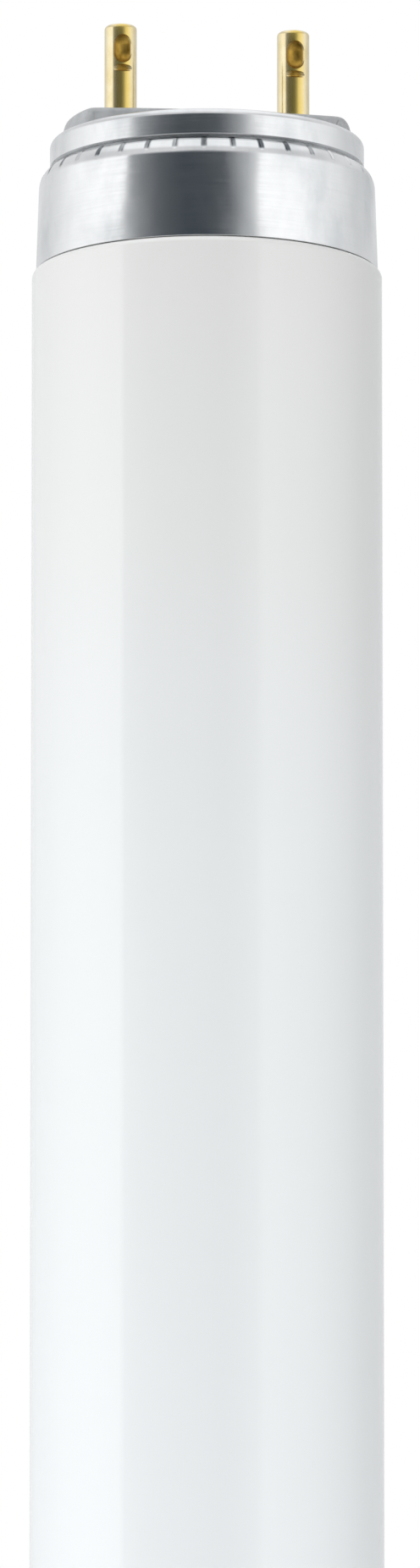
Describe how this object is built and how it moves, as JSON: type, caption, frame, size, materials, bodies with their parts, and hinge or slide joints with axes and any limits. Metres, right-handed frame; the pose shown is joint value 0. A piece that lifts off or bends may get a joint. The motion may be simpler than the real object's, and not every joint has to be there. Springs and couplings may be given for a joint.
{
  "type": "fluorescent tube",
  "caption": "Straight white fluorescent lamp tube with an aluminium bi-pin cap on each end, for push-and-turn lampholders.",
  "frame": {"origin": "middle of the tube, on its axis", "axes": "+Z along the tube towards the upper cap, X along the line through each pair of pins"},
  "size_m": [0.0254, 0.0254, 0.6036],
  "materials": {
    "coated_glass": "clear glass over a matt white inner coating, opaque",
    "cap_aluminium": "bright drawn aluminium with fine turning lines",
    "plate_moulding": "light grey moulded insulator",
    "pin_brass": "bright brass, tarnished in the crimps",
    "cap_cement": "baked resin cement",
    "lead_wire": "bare copper-clad wire"
  },
  "bodies": {
    "root": {"glass_tube": "coated_glass", "upper_cap_shell": "cap_aluminium", "upper_pin_plate": "plate_moulding", "upper_cement": "cap_cement", "upper_pin_left": "pin_brass", "upper_pin_right": "pin_brass", "upper_lead_left": "lead_wire", "upper_lead_right": "lead_wire", "lower_cap_shell": "cap_aluminium", "lower_pin_plate": "plate_moulding", "lower_cement": "cap_cement", "lower_pin_left": "pin_brass", "lower_pin_right": "pin_brass", "lower_lead_left": "lead_wire", "lower_lead_right": "lead_wire"}
  },
  "joints": []
}
